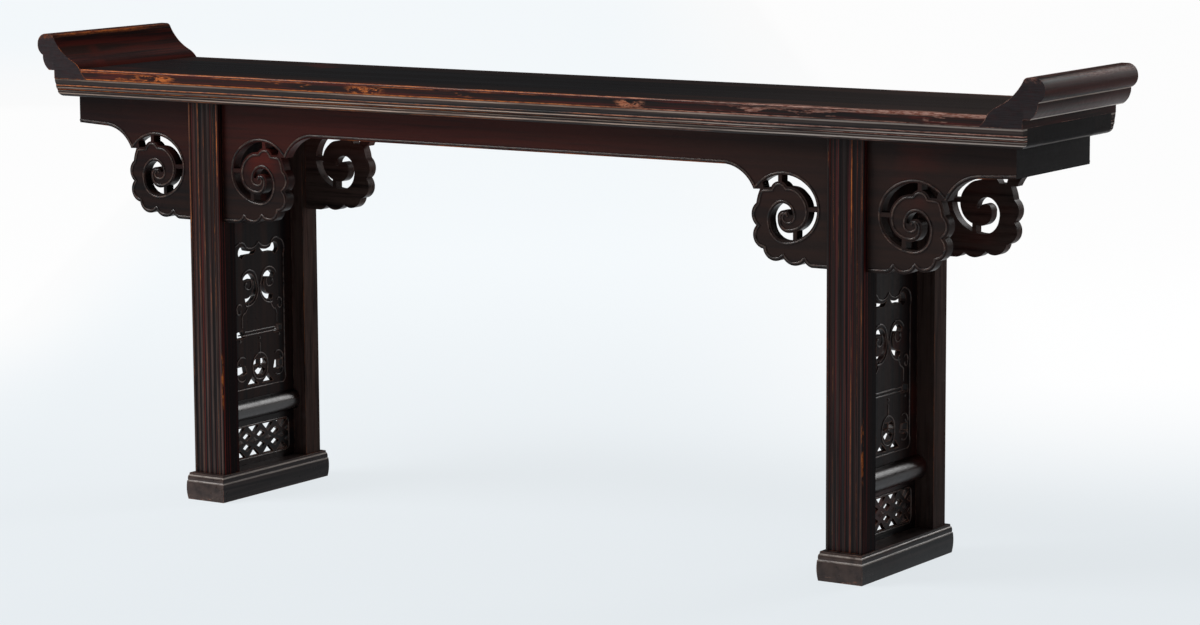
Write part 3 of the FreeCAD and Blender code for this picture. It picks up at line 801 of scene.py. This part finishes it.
def reed_wear(graph):
    """Thin rubbed lines down the reeds and beads on a leg's outer face, and along its arrises."""
    across = across_leg(graph)
    high = graph.product(graph.step("Z", 0.45, 0.75), towards_left(graph, 0.10))
    lift = graph.add(towards_left(graph, 0.01), high)
    marks = []
    for share, half_width, limit in reed_lines:
        streaks = graph.broken(limit, limit + 0.16, across=240 + 300 * share, along=6, lift=lift)
        marks.append(graph.product(graph.line(across, share * leg_half_width, half_width), streaks))
    squarely = graph.band(graph.facing("Y"), 0.3, 0.7)
    low = graph.step("Z", 0.15, 0.75, start=0.34, end=0.92)
    reeds = graph.product(graph.most(marks), squarely, on_leg_front(graph), low)
    edge = graph.band(graph.edge(0.0024), 0.04, 0.26)
    edge = graph.product(edge, graph.broken(0.46, 0.66, along=7), 0.7)
    right_arrises = graph.most([
        graph.line(graph.along("X"), middle + leg_half_width, leg_chip_half_width)
        for middle in (leg_x, -leg_x)
    ])
    chips = graph.product(
        right_arrises,
        graph.step("Y", *leg_chip_limits),
        graph.line(graph.along("Z"), *leg_chip_heights),
        graph.broken(0.44, 0.54, across=120, along=26),
        0.7,
    )
    return graph.most([reeds, edge, chips, hairlines(graph)])


def leg_soot(graph):
    """The legs darken towards their feet."""
    return graph.step("Z", 0.10, 0.55, start=0.80, end=0.15)


def leg_rub_and_fill_light(graph):
    """The reeds' crests are rubbed greyer towards the foot, and the back legs are greyer, dust with
    painted fill light.
    """
    across = across_leg(graph)
    crests = graph.most([
        graph.line(across, share * leg_half_width, reed_crest_half_width) for share in reed_crests
    ])
    low = graph.product(
        graph.step("Z", 0.15, 0.60, start=0.50, end=0.16),
        graph.step("X", -leg_x, leg_x, start=1.0, end=0.45),
    )
    streaks = graph.broken(0.25, 0.60, across=150, along=5)
    rubbed = graph.product(crests, on_leg_front(graph), low, streaks)
    return graph.most([back_dust_and_fill_light(graph), rubbed])


def leg_red(graph):
    """Thin crimson streaks down the front legs, more of them on the left one."""
    streaks = graph.add(graph.stretched(330, 1.6, detail=3.0), towards_left(graph, 0.03))
    front = graph.step("Y", 0.012 - apron_face, 0.002 - apron_face, start=0.10, end=0.60)
    return graph.product(graph.band(streaks, 0.54, 0.66), front)


def back_dust_and_fill_light(graph):
    """The pieces at the back of the table are greyer and paler: dust, and painted fill light in
    their shade.
    """
    back = graph.step("Y", 0.0, 0.06, start=0.0, end=0.28)
    return graph.product(back, graph.broken(0.25, 0.60, across=120, along=6))


def apron_wear(graph):
    """A light line of wear along the apron's lower edge and rubbed hairlines above it."""
    low_edge = graph.line(graph.along("Z"), *apron_worn_line)
    worn = graph.product(low_edge, graph.broken(0.38, 0.62, along=5), 0.6)
    return graph.most([worn, hairlines(graph)])


def bead_wear_and_highlight(graph):
    """The crest of a carved bead, a little paler: rubbed, and partly a painted highlight."""
    crest = graph.band(graph.most([graph.facing("Y"), graph.facing("X")]), 0.80, 0.97)
    uneven = graph.band(graph.noise(graph.place, 60.0, 4.0, 0.6), 0.36, 0.66)
    return graph.product(crest, uneven, 0.40)


def carved_rub_and_fill_light(graph):
    """The front apron and spandrels are browner towards the right end, the back ones greyer, dust
    with painted fill light.
    """
    front = graph.step("Y", 0.0, -0.06)
    right = graph.step("X", -leg_x, leg_x, start=0.02, end=0.10)
    return graph.most([back_dust_and_fill_light(graph), graph.product(right, front)])


def apron_red(graph):
    """The long apron is redder towards the left of its middle."""
    away = graph.math("ABSOLUTE", graph.subtract(graph.along("X"), apron_red_middle))
    return graph.band(away, *apron_red_limits)


def left_cloud_patch(graph):
    """A redder patch on the left trestle's inner front cloud."""
    squares = [
        graph.math("POWER", graph.subtract(graph.along(axis), middle), 2.0)
        for axis, middle in red_cloud_middle
    ]
    away = graph.math("SQRT", graph.add(graph.add(squares[0], squares[1]), squares[2]))
    return graph.band(away, *red_cloud_limits)


def spandrel_red(graph):
    """The spandrels share the apron's red where they join it, and the left one has its patch."""
    near_apron = graph.step("Z", *spandrel_red_limits)
    return graph.most([left_cloud_patch(graph), graph.product(near_apron, apron_red(graph))])


def dress_nodes():
    """Give every CAD node the lacquer of its kind."""
    carved = {"red": 0.26, "roughness": 0.28, "shine": 0.10, "rub_and_painted_light": carved_rub_and_fill_light}
    sooty = {"red": 0.0, "body": lacquer_soot}
    materials = {
        "top_panel": lacquer("top_board", "X", hairlines, roughness=0.22, shine=0.03,
                             rub_and_painted_light=top_painted_sheen, **sooty),
        "top_rail": lacquer("top_edge", "X", moulding_wear, red=0.10, shine=0.20, dull=0.06,
                            flat_shine=0.04, worn_tone=moulding_tone, rub_and_painted_light=moulding_painted_sheen,
                            crest=moulding_highlights, crest_highlight_tone=crest_colour, soot=rail_end_soot,
                            extra_red=fascia_red),
        "top_end_rail": lacquer("top_end", "Y", hairlines, roughness=0.36, shine=0.06,
                                flat_shine=0.03, rub_and_painted_light=top_painted_sheen, crest=end_highlight, **sooty),
        "top_battens": lacquer("underside", "Y", hairlines, red=0.0, roughness=0.6, shine=0.1),
        "flange": lacquer("flange_lacquer", "Y", flange_wear, red=0.35, shine=0.03,
                          worn_tone=moulding_tone, crest=flange_highlights, ends=flange_ends,
                          polish=flange_polish, extra_red=flange_red),
        "apron_end": lacquer("apron_end_lacquer", "Y", hairlines, roughness=0.38, shine=0.10,
                             **sooty),
        "apron": lacquer("apron_lacquer", "X", apron_wear, extra_red=apron_red, **carved),
        "spandrel": lacquer("carved_lacquer", "X", hairlines, extra_red=spandrel_red, **carved),
        "leg": lacquer("leg_lacquer", "Z", reed_wear, red=0.08, roughness=0.28, dull=0.06,
                       rub_and_painted_light=leg_rub_and_fill_light, soot=leg_soot, thin_red=leg_red),
        "foot": lacquer("foot_lacquer", "Y", foot_wear, red=0.10, roughness=0.24, shine=0.24,
                        dull=0.35, body=foot_body, worn_tone=pale_wear_and_highlight, rub_and_painted_light=foot_grey_ends_and_highlight,
                        crest=foot_highlights),
        "side_stretcher": lacquer("stretcher_lacquer", "Y", hairlines, red=0.15, roughness=0.24,
                                  shine=0.26, dull=1.0, bump_strength=0.15, polish=left_end),
        "side_top_rail": lacquer("side_rail_lacquer", "Y", hairlines, red=0.0, roughness=0.5,
                                 shine=0.1),
        "side_panel": lacquer("panel_lacquer", "Z", opening_wear, red=0.20, roughness=0.26,
                              shine=0.14, dull=0.3, worn_tone=pale_wear_and_highlight),
        "lattice_panel": lacquer("lattice_lacquer", "Y", opening_wear, red=0.15, roughness=0.26,
                                 shine=0.20, dull=0.5, worn_tone=pale_wear_and_highlight),
    }
    for name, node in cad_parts.items():
        kind = max((key for key in materials if name.startswith(key)), key=len)
        node.data.materials.clear()
        node.data.materials.append(materials[kind])


def smooth_nodes():
    """Shade the rounded faces smooth and keep the sharp edges."""
    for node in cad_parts.values():
        for polygon in node.data.polygons:
            polygon.use_smooth = True
        node.data.set_sharp_from_angle(angle=sharp_angle)


def arc_points(start, through, end):
    """Points along the arc from one point through another to a third, without the first."""
    (ax, ay), (bx, by), (cx, cy) = start, through, end
    turn = (bx - ax) * (cy - ay) - (by - ay) * (cx - ax)
    first = (bx - ax) * (bx + ax) + (by - ay) * (by + ay)
    second = (cx - ax) * (cx + ax) + (cy - ay) * (cy + ay)
    centre_x = (first * (cy - ay) - second * (by - ay)) / (2 * turn)
    centre_y = (second * (bx - ax) - first * (cx - ax)) / (2 * turn)
    radius = math.hypot(ax - centre_x, ay - centre_y)
    begin = math.atan2(ay - centre_y, ax - centre_x)
    sweep = math.atan2(cy - centre_y, cx - centre_x) - begin
    sweep = sweep % (2 * math.pi) if turn > 0 else -(-sweep % (2 * math.pi))
    count = max(2, math.ceil(abs(sweep) / arc_step))
    points = []
    for number in range(1, count + 1):
        angle = begin + sweep * number / count
        points.append((centre_x + radius * math.cos(angle), centre_y + radius * math.sin(angle)))
    return points


def chain_points(steps):
    """A line through straight runs and arcs."""
    points = [steps[0][0]]
    for step in steps[1:]:
        if len(step) == 1:
            points.append(step[0])
        for through, end in zip(step[0::2], step[1::2]):
            points += arc_points(points[-1], through, end)
    return points


def beside(points, distance):
    """The same line moved sideways, to the left for a positive distance, with its corners kept."""
    normals = []
    for (ax, ay), (bx, by) in zip(points, points[1:]):
        length = math.hypot(bx - ax, by - ay)
        normals.append(((ay - by) / length, (bx - ax) / length))
    moved = []
    for number, (x, y) in enumerate(points):
        before = normals[max(number - 1, 0)]
        after = normals[min(number, len(normals) - 1)]
        sum_x = before[0] + after[0]
        sum_y = before[1] + after[1]
        reach = distance * 2 / max(sum_x * sum_x + sum_y * sum_y, least_corner)
        moved.append((x + sum_x * reach, y + sum_y * reach))
    return moved


def add_carving(name, data, material):
    """A piece of carving, which goes with the table's one body."""
    data.materials.append(material)
    piece = add_object(name, data)
    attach(piece, "root")


def bead(name, points, radius, material):
    """A half-round carved line, its axis on the face of the board."""
    curve = bpy.data.curves.new(name, "CURVE")
    curve.dimensions = "3D"
    curve.bevel_depth = radius
    curve.bevel_resolution = bead_resolution
    curve.use_fill_caps = True
    spline = curve.splines.new("POLY")
    spline.points.add(len(points) - 1)
    for point, place in zip(spline.points, points):
        point.co = (*place, 1.0)
    add_carving(name, curve, material)


def cloud_lines():
    """Lines of a leg's beads: round the cloud, round its channel and along either side's arch."""
    def place(share):
        return (share[0] * cloud_reach, apron_bottom - share[1] * cloud_drop)

    lobes, inner, ring = (
        chain_points([[place(share) for share in step] for step in shares])
        for shares in (lobe_shares, inner_shares, ring_shares)
    )
    arch = [[(spandrel_spread, apron_bottom)], [place(share) for share in arch_shares]]
    inner_start = (leg_x, apron_bottom)
    outer_start = (apron_end - leg_x, apron_end_bottom)
    return {
        "cloud": beside(list(reversed(lobes)) + inner, cloud_offset),
        "ring": beside(ring, -ring_offset),
        "inner_arch": beside(chain_points([[inner_start]] + arch), -arch_offset),
        "outer_arch": beside(chain_points([[outer_start]] + arch), -arch_offset),
    }


def carve_spandrels(material):
    """Beads on the outer faces of the four spandrels and along both aprons."""
    lines = cloud_lines()
    for face, face_y in (("front", -apron_face), ("back", apron_face)):
        for end, outwards in (("right", 1), ("left", -1)):
            for side, way in (("inner", -outwards), ("outer", outwards)):
                for line in ("cloud", "ring", side + "_arch"):
                    points = [
                        (outwards * leg_x + way * across, face_y, up) for across, up in lines[line]
                    ]
                    name = "_".join(("bead", line.split("_")[-1], face, end, side))
                    bead(name, points, bead_radius, material)


def outer_and_inner_faces(low, high):
    """Each end's two board faces: the name, the place along X and the way the face looks."""
    return (
        ("right", "outer", high[0], 1),
        ("right", "inner", low[0], -1),
        ("left", "outer", -high[0], -1),
        ("left", "inner", -low[0], 1),
    )


def carve_side_panels(material):
    """Raised lines and balls on both faces of the side panels."""
    def place(share):
        return (share[0] * field_half_width, field_low + share[1] * field_height)

    lines = {
        line: chain_points([[place(share) for share in step] for step in steps])
        for line, steps in panel_line_shares.items()
    }
    balls = set()
    for y, z in (place(share) for share in ball_shares):
        balls.update(((y, z), (-y, z)))
    for end, face, x, way in outer_and_inner_faces(panel_low, panel_high):
        for line, points in lines.items():
            on_middle = all(y == 0 for y, z in points)
            for half, mirror in (("a", 1),) if on_middle else (("a", 1), ("b", -1)):
                name = "_".join(("line", line, end, face, half))
                bead(name, [(x, mirror * y, z) for y, z in points], fine_bead_radius, material)
        bosses = [round_boss(x, way, y, z) for y, z in sorted(balls)]
        relief("_".join(("balls", end, face)), bosses, material)


def round_boss(x, way, y, z):
    """A low dome on a board's face: its points, then its faces."""
    points = []
    for share, height in ball_rings:
        for number in range(ball_sides):
            angle = 2 * math.pi * number / ball_sides
            across = ball_radius * share * math.cos(angle)
            up = ball_radius * share * math.sin(angle)
            points.append((x + way * ball_rise * height, y + across, z + up))
    points.append((x + way * ball_rise, y, z))
    faces = []
    for ring in range(len(ball_rings)):
        for number in range(ball_sides):
            here = ring * ball_sides + number
            after = ring * ball_sides + (number + 1) % ball_sides
            if ring < len(ball_rings) - 1:
                faces.append((here, after, after + ball_sides, here + ball_sides))
            else:
                faces.append((here, after, len(points) - 1))
    return points, faces


def pointed_boss(x, way, y, z):
    """A low four-sided point on a board's face: its points, then its faces."""
    points = []
    for across, up in ((0, -1), (1, 0), (0, 1), (-1, 0)):
        points.append((x, y + across * boss_half_width, z + up * boss_half_height))
    points.append((x + way * boss_rise, y, z))
    return points, [(number, (number + 1) % 4, 4) for number in range(4)]


def relief(name, bosses, material):
    """One piece of several bosses."""
    points = []
    faces = []
    for boss_points, boss_faces in bosses:
        first = len(points)
        points += boss_points
        faces += [tuple(first + corner for corner in face) for face in boss_faces]
    mesh = bpy.data.meshes.new(name)
    mesh.from_pydata(points, [], faces)
    add_carving(name, mesh, material)


def carve_lattices(material):
    """Bosses along the lattices' closed middle row and a bead round each opening, on both faces."""
    corner_y = lattice_half_opening - lattice_corner_radius
    corner_z = lattice_opening_half_height - lattice_corner_radius
    outline = []
    for quarter, (way_y, way_z) in enumerate(((1, 1), (-1, 1), (-1, -1), (1, -1))):
        for step in range(corner_steps + 1):
            angle = math.radians(90 * (quarter + step / corner_steps))
            outline.append((
                way_y * corner_y + lattice_corner_radius * math.cos(angle),
                lattice_middle_height + way_z * corner_z + lattice_corner_radius * math.sin(angle),
            ))
    outline.append(outline[0])
    outline = beside(outline, -2 * fine_bead_radius)
    for end, face, x, way in outer_and_inner_faces(lattice_low, lattice_high):
        name = "_".join(("lattice_bead", end, face))
        bead(name, [(x, y, z) for y, z in outline], fine_bead_radius, material)
        bosses = [pointed_boss(x, way, y, lattice_middle_height) for y in lattice_boss_places]
        relief("_".join(("lattice_bosses", end, face)), bosses, material)


def lay_floor():
    """A pale floor that runs back into a white surround and keeps the table's soft shadow."""
    mesh = bpy.data.meshes.new("floor")
    signs = ((-1, -1), (1, -1), (1, 1), (-1, 1))
    corners = [(x * floor_half, y * floor_half, floor_level) for x, y in signs]
    mesh.from_pydata(corners, [], [(0, 1, 2, 3)])
    floor = add_object("floor", mesh)
    graph = Graph("floor_paper")
    tone = graph.band(graph.noise(graph.place, *paper_pattern), *paper_limits)
    graph.set(graph.shader.inputs["Base Color"], graph.mix(tone, *paper_tones))
    graph.shader.inputs["Roughness"].default_value = floor_roughness
    graph.shader.inputs["Specular IOR Level"].default_value = floor_shine

    turned = graph.nodes.new("ShaderNodeMapping")
    turned.inputs["Rotation"].default_value = (0, 0, -camera_yaw)
    graph.links.new(graph.place, turned.inputs["Vector"])
    parts = graph.nodes.new("ShaderNodeSeparateXYZ")
    graph.links.new(turned.outputs["Vector"], parts.inputs[0])
    far = graph.band(parts.outputs["Y"], *far_limits)
    sides = graph.most([
        graph.product(*[graph.band(parts.outputs[axis], *limits) for axis, *limits in side])
        for side in side_limits
    ])
    glow_colour = graph.mix(sides, graph.mix(far, glow_near, glow_far), glow_white)
    glow_share = graph.add(graph.product(far, far_glow_extra), near_glow_share)
    glow_share = graph.most([glow_share, graph.product(sides, side_glow_share)])
    glow = graph.nodes.new("ShaderNodeEmission")
    graph.set(glow.inputs["Color"], glow_colour)
    path = graph.nodes.new("ShaderNodeLightPath")
    rays = ("Is Camera Ray", "Is Glossy Ray", "Is Transmission Ray")
    seen = graph.most([path.outputs[ray] for ray in rays])
    blend = graph.nodes.new("ShaderNodeMixShader")
    graph.links.new(graph.product(seen, glow_share), blend.inputs[0])
    graph.links.new(graph.shader.outputs[0], blend.inputs[1])
    graph.links.new(glow.outputs[0], blend.inputs[2])
    graph.links.new(blend.outputs[0], graph.nodes["Material Output"].inputs["Surface"])
    mesh.materials.append(graph.material)


def light_world():
    """A surround that is white to the camera, and as light bright overhead, dim at the sides."""
    world = bpy.data.worlds.new("studio")
    world.use_nodes = True
    nodes = world.node_tree.nodes
    links = world.node_tree.links
    parts = nodes.new("ShaderNodeSeparateXYZ")
    links.new(nodes.new("ShaderNodeTexCoord").outputs["Generated"], parts.inputs[0])
    light = nodes.new("ShaderNodeMapRange")
    light.interpolation_type = "SMOOTHSTEP"
    links.new(parts.outputs["Z"], light.inputs["Value"])
    for socket, value in zip(("From Min", "From Max", "To Min", "To Max"), surround_limits):
        light.inputs[socket].default_value = value
    strength = nodes.new("ShaderNodeMix")
    links.new(nodes.new("ShaderNodeLightPath").outputs["Is Camera Ray"], strength.inputs["Factor"])
    links.new(light.outputs["Result"], strength.inputs["A"])
    strength.inputs["B"].default_value = 1.0
    links.new(strength.outputs["Result"], nodes["Background"].inputs["Strength"])
    nodes["Background"].inputs["Color"].default_value = (*surround_colour, 1.0)
    bpy.context.scene.world = world


def add_lamp(name, place, aim, size, power):
    """A square-edged lamp that the camera doesn't see."""
    data = bpy.data.lights.new(name, "AREA")
    data.shape = "RECTANGLE"
    data.size, data.size_y = size
    data.energy = power
    lamp = add_object(name, data)
    lamp.location = place
    lamp.visible_camera = False
    lamp.rotation_euler = (Vector(aim) - Vector(place)).to_track_quat("-Z", "Y").to_euler()


aim_camera()
smooth_nodes()
dress_nodes()
# The beads' pale crests are partly a painted highlight.
bead_lacquer = lacquer("bead_lacquer", "X", bead_wear_and_highlight, red=0.1, roughness=0.22, shine=0.34,
                       dull=1.0, bump_strength=0.2, worn_tone=pale_wear_and_highlight)
carve_spandrels(bead_lacquer)
carve_side_panels(bead_lacquer)
carve_lattices(bead_lacquer)
lay_floor()
light_world()
for lamp in lamps:
    add_lamp(*lamp)
bpy.context.scene.view_settings.view_transform = "Standard"
